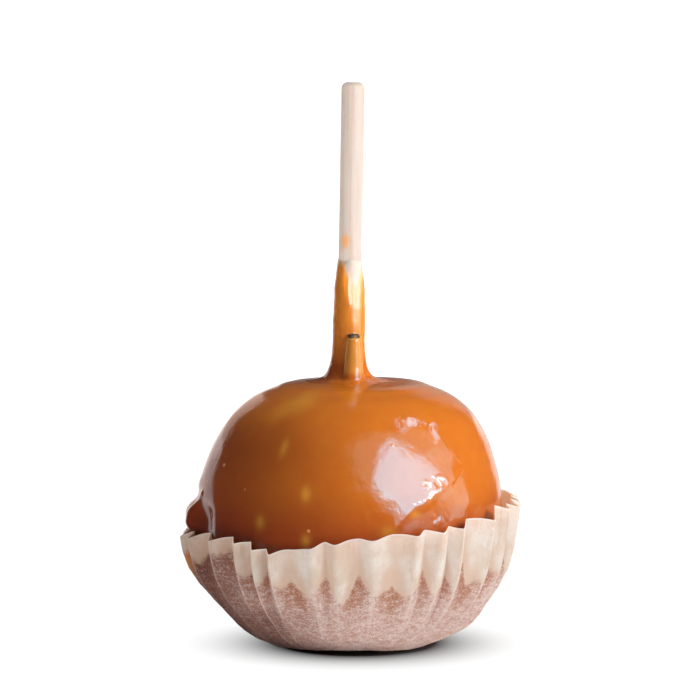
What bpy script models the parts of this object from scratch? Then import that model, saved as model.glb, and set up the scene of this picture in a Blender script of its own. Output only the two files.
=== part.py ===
"""A caramel apple: an apple dipped in caramel on a round wooden stick, seated in a pleated paper cup.

Metres, +Z up. The origin is the centre of the cup's flat base, on the surface that it stands on.
Azimuths are in degrees round the Z axis: 0 is the front (-Y), 90 is the right-hand side (+X).
Sizes below are in millimetres and are turned into metres by MM where a mesh is made.
"""

import bisect
import math
import random

import bpy
from mathutils import Matrix, Vector

MM = 0.001
FIT_GAP = 0.3  # clearance between pieces that touch in the real thing

# Wooden stick: a 6 mm dowel, 114 mm (4.5 in) long, pushed into the core, leaning a little to the right
STICK_RADIUS = 3.0
STICK_TOP = 144.4
STICK_LENGTH = 114.0
STICK_END_ROUNDING = 1.5
STICK_FOOT_X = -0.33
STICK_FOOT_Z = 67.0
STICK_LEAN = 0.0175  # sideways travel for each millimetre of height
STICK_SIDES = 32

# Apple's own stalk, standing just in front of the stick, its cut tip bare
STALK_TOP = 80.6
STALK_LENGTH = 16.5
STALK_RADIUS = 1.35
STALK_TIP_RADIUS = 1.7
STALK_TIP_LENGTH = 2.2
STALK_FROM_STICK = 5.7
STALK_AZIMUTH = 13.4
STALK_SIDES = 20

# Caramel coat. The collar is the sleeve of caramel that ran up the stick.
CARAMEL_SEGMENTS = 84
BORE_RADIUS = STICK_RADIUS + FIT_GAP
BORE_ROWS = (48.0, 66.0)  # heights of the bore's rows between its foot and the collar
COLLAR_OUTLINE = [
    (3.55, 97.4), (3.78, 96.3), (3.95, 93.5), (4.05, 89.5), (4.2, 85.0), (4.15, 81.6), (4.1, 80.5),
    (4.1, 79.4), (4.15, 77.0), (4.4, 74.2), (4.95, 71.6), (6.0, 69.5), (7.9, 68.5),
]
BODY_OUTLINE = [
    (11.0, 67.95), (15.0, 67.6), (18.4, 67.05), (20.7, 66.15), (24.2, 64.7), (27.6, 62.5), (30.6, 59.8),
    (33.0, 56.4), (35.0, 52.6), (36.7, 48.2), (38.1, 43.6), (38.85, 39.6), (39.05, 37.2), (39.2, 35.0),
    (39.3, 32.9), (39.4, 30.2), (39.2, 25.2), (38.3, 20.5), (36.5, 16.3), (34.0, 12.3), (31.0, 8.8),
    (27.6, 5.6), (24.0, 3.1), (20.3, 1.45), (17.0, 0.8), (0.0, 0.75),
]
WALL_FROM = 20.0  # the outline's points beyond this radius are the body's wall
# Height of the collar's ragged top edge at azimuths round the stick
COLLAR_TOP = [(-150, 95.0), (-95, 97.2), (-65, 98.0), (0, 88.6), (22, 88.0), (85, 95.6), (140, 92.5)]
COLLAR_STRETCH_FROM = 82.0
# Coat over the stalk: the radius of the coated stalk, and how softly it runs into the collar
STALK_COAT_RADIUS = 2.15
STALK_COAT_BLEND = 0.5
STALK_COAT_TOP = (79.3, 80.4)
# Bulges (+) and dents (-): azimuth, height, depth, half width in degrees, half height, flatness of their tops
CARAMEL_RELIEF = [
    (-93, 33.1, 3.1, 17, 4.2, 1.8),  # thick drip that spills over the cup's left edge
    (-71.5, 31.5, -1.5, 8.0, 6.0, 1.7),  # hollow beside it
    (-126, 37.5, 1.2, 14, 6.0, 1.0),
    (-168, 35.5, 1.5, 13, 5.0, 1.0),
    (128, 42.0, 1.0, 12, 7.0, 1.0),
    (31.0, 55.4, -0.75, 6.5, 3.1, 1.0),  # dent that breaks the highlight on the right
    (47, 52.5, 0.35, 7, 3.4, 1.0),
    (20, 38.5, -0.35, 8, 3.6, 1.0),
    (24, 35.4, 0.5, 5.5, 2.3, 1.0),
    (40, 35.0, 0.35, 6, 3.0, 1.0),
    (-58, 60.8, 0.4, 13, 2.4, 1.0),
    (160, 55.0, -0.6, 12, 4.0, 1.0),
]
# The same for the seat, where apple and cup are pressed into one shape
SEAT_RELIEF = [
    (-92, 11.5, -1.2, 32, 6.0, 1.0),
    (88, 6.3, 2.0, 30, 4.2, 1.0),
]
RELIEF_FADE = (8.0, 22.0)  # the relief grows from nothing to all of it between these radii
BODY_SHIFT = 0.2  # the apple sits this far to the right of the cup's axis, above these heights
BODY_SHIFT_HEIGHTS = (22.0, 40.0)
SHOULDER_SHIFT = 1.05  # and its shoulders this much further
SHOULDER_SHIFT_HEIGHTS = (43.0, 63.0)
COLLAR_FOOT = (7.6, 15.0)  # between these radii the stick's lean hands over to the body's shift
LOBES = 5
LOBE_DEPTH = 0.35
LOBE_TURN = 40.0
LOBE_HEIGHT = 59.0
LOBE_HALF_HEIGHT = 7.0

# Paper cup, pressed from thin greaseproof paper
PAPER = 0.4
PLEAT_STEPS = 4  # flats in each pleat
FOOT_EDGE = 0.3937  # a little under the paper's thickness, so that the foot is flat outside too
CUP_FLOOR = [(0.0, PAPER), (17.3, FOOT_EDGE), (18.0, 0.66), (20.7, 1.0)]
CUP_WALL = [
    (20.7, 1.0), (24.4, 2.7), (28.0, 5.2), (31.5, 8.5), (34.5, 12.0), (37.1, 16.0), (38.95, 20.4),
    (39.9, 25.0), (40.6, 30.0), (41.3, 35.0), (41.9, 42.0),
]
CUP_ROWS = [2.7, 5.2, 8.5, 12.0, 16.0, 20.4]  # heights of the wall's lower rows
CUP_UPPER_ROWS = 3  # rows from the last of those up to the rim
# Inner folds that the front view shows, as azimuths; the rest follow at an even, slightly random pitch
FRONT_FOLDS = [-91, -76, -58.5, -45.2, -36.9, -30.6, -21.3, -8.4, 3.3, 15.8, 27.0, 36.9, 44.8, 61.8, 73.5]
HIDDEN_FOLDS = 18
FOLD_JITTER = 1.7
# Depth of the pleats, in stages that each grow between two heights: creases where the apple's weight presses
# them, then open folds
PLEAT_STAGES = [(0.6, 0.6, 6.0), (0.55, 8.0, 15.0), (1.65, 13.0, 27.0)]
PLEAT_DROP = 1.4  # the outer folds' rim is this much lower than the inner folds'
FRONT_PLEAT_SHARE = 0.6  # the pleats are pulled open at the front, round this azimuth
FRONT_PLEAT_CENTRE = 2.0
FRONT_PLEAT_HALF_WIDTH = 26.0
CUP_CLEARANCE = 0.5  # least gap between the caramel and the cup's inside
# Height of the rim at azimuths round the cup
RIM_HEIGHT = [
    (-150, 32.2), (-115, 30.4), (-91, 29.4), (-76, 30.4), (-58.5, 31.6), (-45.2, 31.7), (-36.9, 31.0),
    (-30.6, 29.6), (-21.3, 29.8), (-8.4, 32.1), (3.3, 33.0), (15.8, 33.9), (27.0, 34.6), (36.9, 35.0),
    (44.8, 36.3), (61.8, 38.4), (73.5, 37.6), (90, 37.4), (120, 37.2), (150, 35.6), (180, 33.4),
]


def clear_scene():
    """Removes whatever the startup file holds."""
    for obj in list(bpy.data.objects):
        bpy.data.objects.remove(obj, do_unlink=True)


def new_collection(name, hidden=False):
    group = bpy.data.collections.new(name)
    group.hide_render = hidden
    bpy.context.scene.collection.children.link(group)
    return group


def new_material(name, colour, roughness):
    material = bpy.data.materials.new(name)
    material.use_nodes = True
    shader = material.node_tree.nodes["Principled BSDF"]
    shader.inputs["Base Color"].default_value = (*colour, 1.0)
    shader.inputs["Roughness"].default_value = roughness
    shader.inputs["Metallic"].default_value = 0.0
    return material


def azimuth_of(x, y):
    """Azimuth in degrees, from -180 to 180, with 0 at the front and 90 on the right."""
    return math.degrees(math.atan2(x, -y))


def angle_between(a, b):
    return (a - b + 180.0) % 360.0 - 180.0


def bell(distance, half_width, flatness=1.0):
    """1 at no distance and a third at the half width. A flatter bell falls later and faster."""
    return math.exp(-(abs(distance / half_width) ** (2.0 * flatness)))


def ramp(value, start, end):
    """0 before start, 1 after end and smooth between them."""
    share = min(max((value - start) / (end - start), 0.0), 1.0)
    return share * share * (3.0 - 2.0 * share)


def around(points, azimuth):
    """Smooth value at an azimuth from (azimuth, value) pairs that go once round."""
    names = [a for a, _ in points]
    turned = (azimuth - names[0]) % 360.0 + names[0]
    i = bisect.bisect_right(names, turned) - 1
    after = (i + 1) % len(points)
    span = (names[after] - names[i]) % 360.0
    return points[i][1] + (points[after][1] - points[i][1]) * ramp(turned - names[i], 0.0, span)


def along(points, height):
    """Radius at a height, from (radius, height) pairs that climb."""
    for (r0, z0), (r1, z1) in zip(points, points[1:]):
        if height <= z1:
            return r0 + (r1 - r0) * max((height - z0) / (z1 - z0), 0.0)
    return points[-1][0]


def stick_x(height):
    """Sideways place of the stick's axis at a height."""
    return STICK_FOOT_X + STICK_LEAN * (height - STICK_FOOT_Z)


def body_shift(height):
    """How far the apple's body sits to the right of the cup's axis at a height."""
    shoulders = SHOULDER_SHIFT * ramp(height, *SHOULDER_SHIFT_HEIGHTS)
    return BODY_SHIFT * ramp(height, *BODY_SHIFT_HEIGHTS) + shoulders


def turned(name, outline, steps):
    """Mesh of an outline of (radius, height) pairs, which runs down its outer side, turned about Z."""
    profile = bpy.data.meshes.new(name + "_profile")
    points = [(r * MM, 0.0, z * MM) for r, z in outline]
    profile.from_pydata(points, [(i, i + 1) for i in range(len(points) - 1)], [])
    guide = bpy.data.objects.new(name + "_profile", profile)
    bpy.context.scene.collection.objects.link(guide)
    screw = guide.modifiers.new("Turn", "SCREW")
    screw.steps = screw.render_steps = steps
    screw.use_merge_vertices = True
    screw.merge_threshold = 0.00001
    bpy.context.view_layer.update()
    evaluated = guide.evaluated_get(bpy.context.evaluated_depsgraph_get())
    mesh = bpy.data.meshes.new_from_object(evaluated)
    mesh.name = name
    bpy.data.objects.remove(guide, do_unlink=True)
    bpy.data.meshes.remove(profile)
    return mesh


def add_object(name, mesh, group, material, crease=35.0):
    obj = bpy.data.objects.new(name, mesh)
    group.objects.link(obj)
    mesh.materials.clear()
    mesh.materials.append(material)
    mesh.shade_smooth()
    mesh.set_sharp_from_angle(angle=math.radians(crease))
    return obj


def relief(bumps, azimuth, height):
    """How far a list of bumps stands out from the plain turned shape, in millimetres."""
    return sum(
        depth * bell(angle_between(azimuth, at), width, flat) * bell(height - level, tall, flat)
        for at, level, depth, width, tall, flat in bumps
    )


def body_radius_offset(azimuth, height):
    """How far the body stands out from the plain turned shape: its relief and the lobes of its shoulders."""
    wave = math.cos(math.radians(LOBES * azimuth + LOBE_TURN))
    lobes = LOBE_DEPTH * wave * bell(height - LOBE_HEIGHT, LOBE_HALF_HEIGHT)
    return relief(CARAMEL_RELIEF + SEAT_RELIEF, azimuth, height) + lobes


def smooth_max(a, b, blend):
    """The larger of two values, with the change-over rounded."""
    share = min(max(0.5 + 0.5 * (a - b) / blend, 0.0), 1.0)
    return b + (a - b) * share + blend * share * (1.0 - share)


def over_stalk(radius, azimuth, height):
    """Radius of the collar, in millimetres, where it wraps the stalk as well as the stick."""
    turn = math.radians(angle_between(azimuth, STALK_AZIMUTH))
    inside = STALK_COAT_RADIUS**2 - (STALK_FROM_STICK * math.sin(turn)) ** 2
    if abs(turn) > 1.0 or inside <= 0.0:
        return radius
    reach = STALK_FROM_STICK * math.cos(turn) + math.sqrt(inside)
    wrapped = smooth_max(reach, radius, STALK_COAT_BLEND)
    return radius + (wrapped - radius) * (1.0 - ramp(height, *STALK_COAT_TOP))


def shape_caramel(mesh):
    """Turns the plain turned coat into the uneven one: shoulders, dents, drips, ragged collar and lean."""
    for vertex in mesh.vertices:
        x, y, z = (c / MM for c in vertex.co)
        radius, azimuth = math.hypot(x, y), azimuth_of(x, y)
        in_bore = radius < BORE_RADIUS + 0.05 and z > STICK_TOP - STICK_LENGTH - 1.0
        on_collar = not in_bore and z > BODY_OUTLINE[0][1]
        if on_collar:
            radius = over_stalk(radius, azimuth, z)
        elif not in_bore:
            radius += body_radius_offset(azimuth, z) * ramp(radius, *RELIEF_FADE)
        if z > COLLAR_STRETCH_FROM:
            top = around(COLLAR_TOP, azimuth)
            share = (z - COLLAR_STRETCH_FROM) / (COLLAR_OUTLINE[0][1] - COLLAR_STRETCH_FROM)
            z = COLLAR_STRETCH_FROM + (top - COLLAR_STRETCH_FROM) * share
        turn = math.radians(azimuth)
        if in_bore or on_collar:
            shift = stick_x(z)
        else:
            shift = stick_x(z) + (body_shift(z) - stick_x(z)) * ramp(radius, *COLLAR_FOOT)
        vertex.co = Vector((math.sin(turn) * radius + shift, -math.cos(turn) * radius, z)) * MM


def cut(obj, cutter, helpers):
    """Cuts the cutter out of the object with a Boolean that stays live."""
    cutter.hide_render = True
    cutter.display_type = "WIRE"
    helpers.objects.link(cutter)
    boolean = obj.modifiers.new("Pocket", "BOOLEAN")
    boolean.operation = "DIFFERENCE"
    boolean.solver = "EXACT"
    boolean.object = cutter


def stalk_place():
    """Foot of the stalk's axis and the lean that it shares with the stick."""
    turn = math.radians(STALK_AZIMUTH)
    middle = STALK_TOP - STALK_LENGTH / 2
    x = stick_x(middle) + math.sin(turn) * STALK_FROM_STICK
    y = -math.cos(turn) * STALK_FROM_STICK
    return Matrix.Translation(Vector((x, y, 0.0)) * MM)


def build_caramel(group, helpers):
    foot = STICK_TOP - STICK_LENGTH - FIT_GAP
    rows = (foot, *BORE_ROWS, COLLAR_STRETCH_FROM, COLLAR_OUTLINE[0][1])
    bore = [(0.0, foot)] + [(BORE_RADIUS, z) for z in rows]
    mesh = turned("caramel_apple", bore + COLLAR_OUTLINE + BODY_OUTLINE, CARAMEL_SEGMENTS)
    shape_caramel(mesh)
    coat = add_object("caramel_apple", mesh, group, new_material("caramel", (0.55, 0.17, 0.02), 0.12))
    pocket_radius = STALK_TIP_RADIUS + FIT_GAP
    low = STALK_TOP - STALK_LENGTH - FIT_GAP
    pocket = turned(
        "stalk_pocket",
        [(0.0, STALK_TOP + 0.4), (pocket_radius, STALK_TOP + 0.4), (pocket_radius, low), (0.0, low)],
        STALK_SIDES,
    )
    cutter = bpy.data.objects.new("stalk_pocket", pocket)
    cutter.matrix_world = stalk_place()
    cut(coat, cutter, helpers)


def build_stalk(group):
    low = STALK_TOP - STALK_LENGTH
    neck = STALK_TOP - STALK_TIP_LENGTH
    outline = [
        (0.0, STALK_TOP), (STALK_TIP_RADIUS - 0.6, STALK_TOP - 0.1),
        (STALK_TIP_RADIUS - 0.15, STALK_TOP - 0.5),
        (STALK_TIP_RADIUS, STALK_TOP - 1.1), (STALK_RADIUS, neck), (STALK_RADIUS, low), (0.0, low),
    ]
    mesh = turned("apple_stalk", outline, STALK_SIDES)
    stalk = add_object("apple_stalk", mesh, group, new_material("stalk", (0.12, 0.06, 0.02), 0.6))
    stalk.matrix_world = stalk_place()


def build_stick(group):
    bpy.ops.mesh.primitive_cylinder_add(
        vertices=STICK_SIDES, radius=STICK_RADIUS * MM, depth=STICK_LENGTH * MM, end_fill_type="NGON"
    )
    stick = bpy.context.active_object
    stick.name = stick.data.name = "stick"
    for owner in list(stick.users_collection):
        owner.objects.unlink(stick)
    group.objects.link(stick)
    middle = STICK_TOP - STICK_LENGTH / 2
    stick.location = Vector((stick_x(middle), 0.0, middle)) * MM
    stick.rotation_euler = (0.0, math.atan(STICK_LEAN), 0.0)
    stick.data.materials.append(new_material("wood", (0.86, 0.74, 0.60), 0.6))
    stick.data.shade_smooth()
    stick.data.set_sharp_from_angle(angle=math.radians(35.0))
    bevel = stick.modifiers.new("Rounded ends", "BEVEL")
    bevel.width = STICK_END_ROUNDING * MM
    bevel.segments = 4
    bevel.limit_method = "ANGLE"
    bevel.angle_limit = math.radians(60.0)


def inner_folds():
    """Azimuths of the cup's inner folds, once round, the last one a whole turn after the first."""
    rng = random.Random(7)
    start, end = FRONT_FOLDS[-1], FRONT_FOLDS[0] + 360.0
    pitch = (end - start) / (HIDDEN_FOLDS + 1)
    hidden = [start + pitch * (i + 1) + rng.uniform(-FOLD_JITTER, FOLD_JITTER) for i in range(HIDDEN_FOLDS)]
    return FRONT_FOLDS + hidden + [end]


def pleat_share(azimuth):
    """How far the pleats keep their depth: they are pulled open at the front."""
    pulled = bell(angle_between(azimuth, FRONT_PLEAT_CENTRE), FRONT_PLEAT_HALF_WIDTH)
    return 1.0 - (1.0 - FRONT_PLEAT_SHARE) * pulled


def pleat_depth(height):
    """Depth of the pleats at a height."""
    return sum(depth * ramp(height, start, end) for depth, start, end in PLEAT_STAGES)


def shape_cup(mesh, folds):
    """Folds the plain turned cup into pleats, and brings its rim to the real, uneven height."""
    pleats = len(folds) - 1
    last_row = CUP_ROWS[-1]
    top = CUP_WALL[-1][1]
    for vertex in mesh.vertices:
        x, y, z = (c / MM for c in vertex.co)
        radius = math.hypot(x, y)
        place = (azimuth_of(x, y) - folds[0]) % 360.0 / 360.0 * pleats
        place = round(place * PLEAT_STEPS) / PLEAT_STEPS % pleats
        share = place % 1.0
        fold = int(place)
        azimuth = folds[fold] + (folds[fold + 1] - folds[fold]) * share
        ridge = 1.0 - abs(2.0 * share - 1.0)
        open_share = pleat_share(azimuth)
        if z > last_row + 0.01:
            rim = around(RIM_HEIGHT, azimuth) - PLEAT_DROP * open_share * ridge
            z = last_row + (rim - last_row) * (z - last_row) / (top - last_row)
        if z > CUP_WALL[0][1] - 0.01:
            pushed = outline_radius(z) + relief(CARAMEL_RELIEF, azimuth, z) + CUP_CLEARANCE
            wall = max(along(CUP_WALL, z), pushed) + relief(SEAT_RELIEF, azimuth, z)
            radius = wall + pleat_depth(z) * open_share * ridge
        turn = math.radians(azimuth)
        vertex.co = Vector((math.sin(turn) * radius, -math.cos(turn) * radius, z)) * MM


def outline_radius(height):
    """Radius of the plain turned caramel body at a height above its flat base."""
    return along([(r, z) for r, z in reversed(BODY_OUTLINE) if r > WALL_FROM], height)


def build_cup(group):
    folds = inner_folds()
    top, last_row = CUP_WALL[-1][1], CUP_ROWS[-1]
    upper = [last_row + (top - last_row) * (i + 1) / CUP_UPPER_ROWS for i in range(CUP_UPPER_ROWS)]
    wall = [(along(CUP_WALL, z), z) for z in CUP_ROWS + upper]
    outline = list(reversed(CUP_FLOOR + wall))
    mesh = turned("paper_cup", outline, (len(folds) - 1) * PLEAT_STEPS)
    shape_cup(mesh, folds)
    cup = add_object("paper_cup", mesh, group, new_material("paper", (0.80, 0.72, 0.66), 0.7), crease=20.0)
    thickness = cup.modifiers.new("Paper", "SOLIDIFY")
    thickness.thickness = PAPER * MM
    thickness.offset = 1.0
    thickness.use_even_offset = False


def main():
    clear_scene()
    group = new_collection("caramel_apple")
    helpers = new_collection("cutters", hidden=True)
    build_caramel(group, helpers)
    build_stalk(group)
    build_stick(group)
    build_cup(group)


main()
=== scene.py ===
"""Looks of a caramel apple: a glossy caramel coat on a round wooden stick, seated in a pleated paper case.

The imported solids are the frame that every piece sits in. Sizes are in millimetres, and MM turns them into
metres where a mesh is made. Azimuths are in degrees round the Z axis: 0 is the front (-Y), and 90 the
right-hand side (+X).
"""

import logging
import math
import random
from collections.abc import Callable, Iterable
from dataclasses import dataclass
from enum import Enum

import bmesh
import bpy
import numpy as np
from mathutils import Matrix, Vector, noise


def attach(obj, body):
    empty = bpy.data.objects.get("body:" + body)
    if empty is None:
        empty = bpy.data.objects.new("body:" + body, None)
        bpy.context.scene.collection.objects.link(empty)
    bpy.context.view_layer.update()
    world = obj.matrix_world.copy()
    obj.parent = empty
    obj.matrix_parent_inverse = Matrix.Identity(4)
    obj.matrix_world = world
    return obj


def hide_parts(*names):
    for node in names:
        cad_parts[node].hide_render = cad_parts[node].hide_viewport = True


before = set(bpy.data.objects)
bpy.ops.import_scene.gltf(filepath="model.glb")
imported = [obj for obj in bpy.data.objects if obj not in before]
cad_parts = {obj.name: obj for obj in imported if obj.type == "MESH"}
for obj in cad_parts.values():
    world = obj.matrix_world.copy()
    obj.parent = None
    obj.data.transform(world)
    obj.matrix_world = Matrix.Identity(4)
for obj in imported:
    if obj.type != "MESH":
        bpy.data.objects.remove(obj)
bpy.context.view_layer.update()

MM = 0.001
POLE = 1e-6  # lengths in millimetres below this count as none
MERGE = 1e-7  # points nearer to each other than this, in metres, become one
ROW = "row"
SIDE_RADIUS = 38.5  # the caramel's radius where most marks lie, which turns their azimuths into lengths

LOG = logging.getLogger("caramel_apple")
Array = np.ndarray
Fade = tuple[float, float]  # where something starts to show, and where it shows in full
Pairs = tuple[tuple[float, float], ...]
Steps = tuple[tuple[float, float, float], ...]


class Slot(Enum):
    """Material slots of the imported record."""

    CARAMEL = "caramel"
    STALK = "stalk"
    WOOD = "wood"
    PAPER = "paper"


class Reach(Enum):
    """Which rays a studio light acts on."""

    BODY = "colour and shadow"
    GLOSS = "reflections"


class FallsOn(Enum):
    """Which pieces a light falls on: all, the pale ones (paper and stick) or the rest."""

    ALL = "all"
    PALE = "pale"
    REST = "rest"


# --- Shape functions: each takes a number or an array of them ---


def azimuth_of(x: Array, y: Array) -> Array:
    """Azimuth in degrees of a point seen from above, from -180 to 180."""
    return np.degrees(np.arctan2(x, -y))


def angle_between(a: Array, b: float) -> Array:
    """Smallest turn in degrees from b to a, from -180 to 180."""
    return (a - b + 180.0) % 360.0 - 180.0


def placed(azimuth: Array, radius: Array, height: Array, shift: Array | float = 0.0) -> Array:
    """Points at these azimuths, radii and heights, moved to the right by the shift, one row each."""
    turn = np.radians(azimuth)
    return np.stack([np.sin(turn) * radius + shift, -np.cos(turn) * radius, height], axis=1)


def bell(distance: Array, half_width: float, flatness: float = 1.0) -> Array:
    """1 at no distance, falling to a third at the half width, later and faster where it is flatter."""
    return np.exp(-(np.abs(distance / half_width) ** (2.0 * flatness)))


def ramp(value: Array, start: float, end: float) -> Array:
    """0 before start, 1 after end and smooth between them, or the other way round where end is lower."""
    share = np.clip((value - start) / (end - start), 0.0, 1.0)
    return share * share * (3.0 - 2.0 * share)


def climb(steps: Steps, height: Array) -> Array:
    """Sum of steps, each of which sets in between the two heights after its size."""
    return sum(size * ramp(height, start, end) for size, start, end in steps)


def smooth_max(a: Array, b: Array, blend: float) -> Array:
    """The larger of two values, with the change-over rounded."""
    share = np.clip(0.5 + 0.5 * (a - b) / blend, 0.0, 1.0)
    return b + (a - b) * share + blend * share * (1.0 - share)


def grain_noise(points: Array, size: float, seed: float) -> Array:
    """Soft noise from about -1 to 1 at points in millimetres, its swellings about the size across."""
    return np.array([noise.noise(Vector(p)) for p in points / size + seed])


def place_between(marks: Array, azimuth: Array) -> tuple[Array, Array]:
    """Finds where azimuths lie among marks that go once round.

    Args:
        marks: rising azimuths, the last one a whole turn after the first.
        azimuth: what to find, in degrees.

    Returns:
        The number of the mark before each azimuth, and the share of the way to the next mark.
    """
    turned = (azimuth - marks[0]) % 360.0 + marks[0]
    before = np.clip(np.searchsorted(marks, turned, side="right") - 1, 0, len(marks) - 2)
    return before, (turned - marks[before]) / (marks[before + 1] - marks[before])


def around(points: Pairs, azimuth: Array) -> Array:
    """Smooth value at each azimuth.

    Args:
        points: (azimuth, value) pairs, in rising azimuth within one turn.
        azimuth: where the value is wanted, in degrees.

    Returns:
        The value at each azimuth.
    """
    marks, values = np.array([*points, (points[0][0] + 360.0, points[0][1])]).T
    before, share = place_between(marks, azimuth)
    return values[before] + (values[before + 1] - values[before]) * ramp(share, 0.0, 1.0)


def smooth_curve(points: Pairs, per_span: int = 24) -> Array:
    """Curve through every point, with no corners.

    Args:
        points: (radius, height) pairs.
        per_span: steps between two of them.

    Returns:
        An array of (radius, height) rows.
    """
    p = np.array([points[0], *points, points[-1]], float)
    t = np.linspace(0.0, 1.0, per_span, endpoint=False)[:, None]
    rows = []
    for p0, p1, p2, p3 in zip(p, p[1:], p[2:], p[3:]):
        before, here, after = (np.linalg.norm(end - start) for start, end in ((p0, p1), (p1, p2), (p2, p3)))
        leaving = (p2 - p0) * here / max(here + before, POLE)
        arriving = (p3 - p1) * here / max(here + after, POLE)
        first = (2 * t**3 - 3 * t**2 + 1) * p1 + (t**3 - 2 * t**2 + t) * leaving
        rows.append(first + (3 * t**2 - 2 * t**3) * p2 + (t**3 - t**2) * arriving)
    return np.vstack([*rows, p[-1:]])


def respaced(curve: Array, step_at: Callable[[Array], Array]) -> Array:
    """The same curve with its points at chosen steps.

    Args:
        curve: rows of (radius, height).
        step_at: gives the step in millimetres at heights.

    Returns:
        Rows of (radius, height), with the two ends kept.
    """
    lengths = np.linalg.norm(np.diff(curve, axis=0), axis=1)
    middle = (curve[1:, 1] + curve[:-1, 1]) / 2
    count = np.concatenate([[0.0], np.cumsum(lengths / step_at(middle))])
    wanted = np.linspace(0.0, count[-1], int(round(count[-1])) + 1)
    return np.stack([np.interp(wanted, count, column) for column in curve.T], axis=1)


# --- Marks in a surface: each gives its rise in millimetres at azimuths and heights ---


@dataclass(frozen=True)
class Bump:
    """A low swelling, or a dent where the rise is negative, with its half sizes."""

    azimuth: float
    height: float
    rise: float
    half_turn: float
    half_height: float
    flatness: float = 1.0

    def at(self, azimuth: Array, height: Array) -> Array:
        """Rise at each place."""
        turn = bell(angle_between(azimuth, self.azimuth), self.half_turn, self.flatness)
        return self.rise * turn * bell(height - self.height, self.half_height, self.flatness)


@dataclass(frozen=True)
class Side:
    """One side of a piece, which fades in between two heights: a mask from 0 to the share."""

    azimuth: float
    half_turn: float
    share: float = 1.0
    fade: Fade = (-1.0, 0.0)
    flatness: float = 1.0

    def at(self, azimuth: Array, height: Array) -> Array:
        """The mask at each place."""
        turn = bell(angle_between(azimuth, self.azimuth), self.half_turn, self.flatness)
        return self.share * turn * ramp(height, *self.fade)


@dataclass(frozen=True)
class Blister:
    """A bubble's rim: a raised ring with a sunken middle."""

    azimuth: float
    height: float
    radius: float
    rise: float
    edge: float
    sink: float = 0.0
    stretch: float = 1.0

    def at(self, azimuth: Array, height: Array) -> Array:
        """Rise at each place.

        Args:
            azimuth: azimuths in degrees.
            height: heights in millimetres.

        Returns:
            The rise in millimetres.
        """
        across = np.radians(angle_between(azimuth, self.azimuth)) * SIDE_RADIUS / self.stretch
        distance = np.hypot(across, height - self.height)
        ring = self.rise * bell(distance - self.radius, self.edge)
        return ring - self.sink * bell(distance, self.radius * 0.8)


@dataclass(frozen=True)
class Fold:
    """A ridge or groove along a line of (azimuth, height) points, and a step in level across it."""

    points: Pairs
    rise: float
    half_width: float
    step: float = 0.0
    step_width: float = 1.0
    step_reach: float = 6.0

    def at(self, azimuth: Array, height: Array) -> Array:
        """Rise at each place. The step is on the left-hand side as the line runs.

        Args:
            azimuth: azimuths in degrees.
            height: heights in millimetres.

        Returns:
            The rise in millimetres.
        """
        line = np.array([(math.radians(turn) * SIDE_RADIUS, rise) for turn, rise in self.points])
        place = np.stack([np.radians(azimuth) * SIDE_RADIUS, height], axis=-1)
        nearest, side = np.full(len(place), np.inf), np.zeros(len(place))
        for start, end in zip(line, line[1:]):
            along, away = end - start, place - start
            share = np.clip((away @ along) / (along @ along), 0.0, 1.0)
            distance = np.hypot(*(away - share[:, None] * along).T)
            closer = distance < nearest
            nearest = np.where(closer, distance, nearest)
            side = np.where(closer, np.sign(along[0] * away[:, 1] - along[1] * away[:, 0]), side)
        level = 0.5 + 0.5 * np.tanh(side * nearest / self.step_width)
        ridge = self.rise * bell(nearest, self.half_width)
        return ridge + self.step * level * bell(nearest, self.step_reach)


@dataclass(frozen=True)
class Ripple:
    """Soft noise in a surface: its rise, the width of a swelling, its seed and the spots that it keeps to."""

    rise: float
    size: float
    seed: float
    spots: tuple[Bump, ...] = ()

    def over(self, points: Array, azimuth: Array, height: Array) -> Array:
        """Rise at each point, which has this azimuth and height."""
        share = np.max([spot.at(azimuth, height) for spot in self.spots], axis=0) if self.spots else 1.0
        return self.rise * share * grain_noise(points, self.size, self.seed)


def total_rise(marks: Iterable, azimuth: Array, height: Array) -> Array:
    """Sum of the rises of some marks, in millimetres."""
    return sum(mark.at(azimuth, height) for mark in marks)


# --- Meshes ---


def turned_mesh(name: str, outline: Array, steps: int) -> bpy.types.Mesh:
    """Mesh of an outline turned once round Z, with the outline's row number kept on each point.

    Args:
        name: name of the mesh.
        outline: rows of (radius, height) in millimetres.
        steps: divisions round the axis.

    Returns:
        The mesh, closed at its poles, its faces pointing outwards.
    """
    bm = bmesh.new()
    layer = bm.verts.layers.float.new(ROW)
    chain = [bm.verts.new((0.0, -radius * MM, height * MM)) for radius, height in outline]
    for row, vert in enumerate(chain):
        vert[layer] = row
    geom = chain + [bm.edges.new(pair) for pair in zip(chain, chain[1:])]
    bmesh.ops.spin(bm, geom=geom, cent=(0, 0, 0), axis=(0, 0, 1), angle=math.tau, steps=steps, use_merge=True)
    bmesh.ops.remove_doubles(bm, verts=bm.verts, dist=MERGE)
    bmesh.ops.recalc_face_normals(bm, faces=bm.faces)
    mesh = bpy.data.meshes.new(name)
    bm.to_mesh(mesh)
    bm.free()
    return mesh


def points_of(mesh: bpy.types.Mesh) -> Array:
    """The mesh's points in millimetres, one row each."""
    return np.array([vert.co[:] for vert in mesh.vertices]) / MM


def move_points(mesh: bpy.types.Mesh, points: Array) -> None:
    """Puts the mesh's points at these places, in millimetres."""
    mesh.vertices.foreach_set("co", (points * MM).astype(np.float32).ravel())
    mesh.update()


def swell(points: Array, rise: Array, fade: Fade) -> None:
    """Moves points away from the Z axis by a rise that fades in between two radii."""
    reach = np.hypot(points[:, 0], points[:, 1])
    points[:, :2] *= (1.0 + rise * ramp(reach, *fade) / np.maximum(reach, POLE))[:, None]


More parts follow.
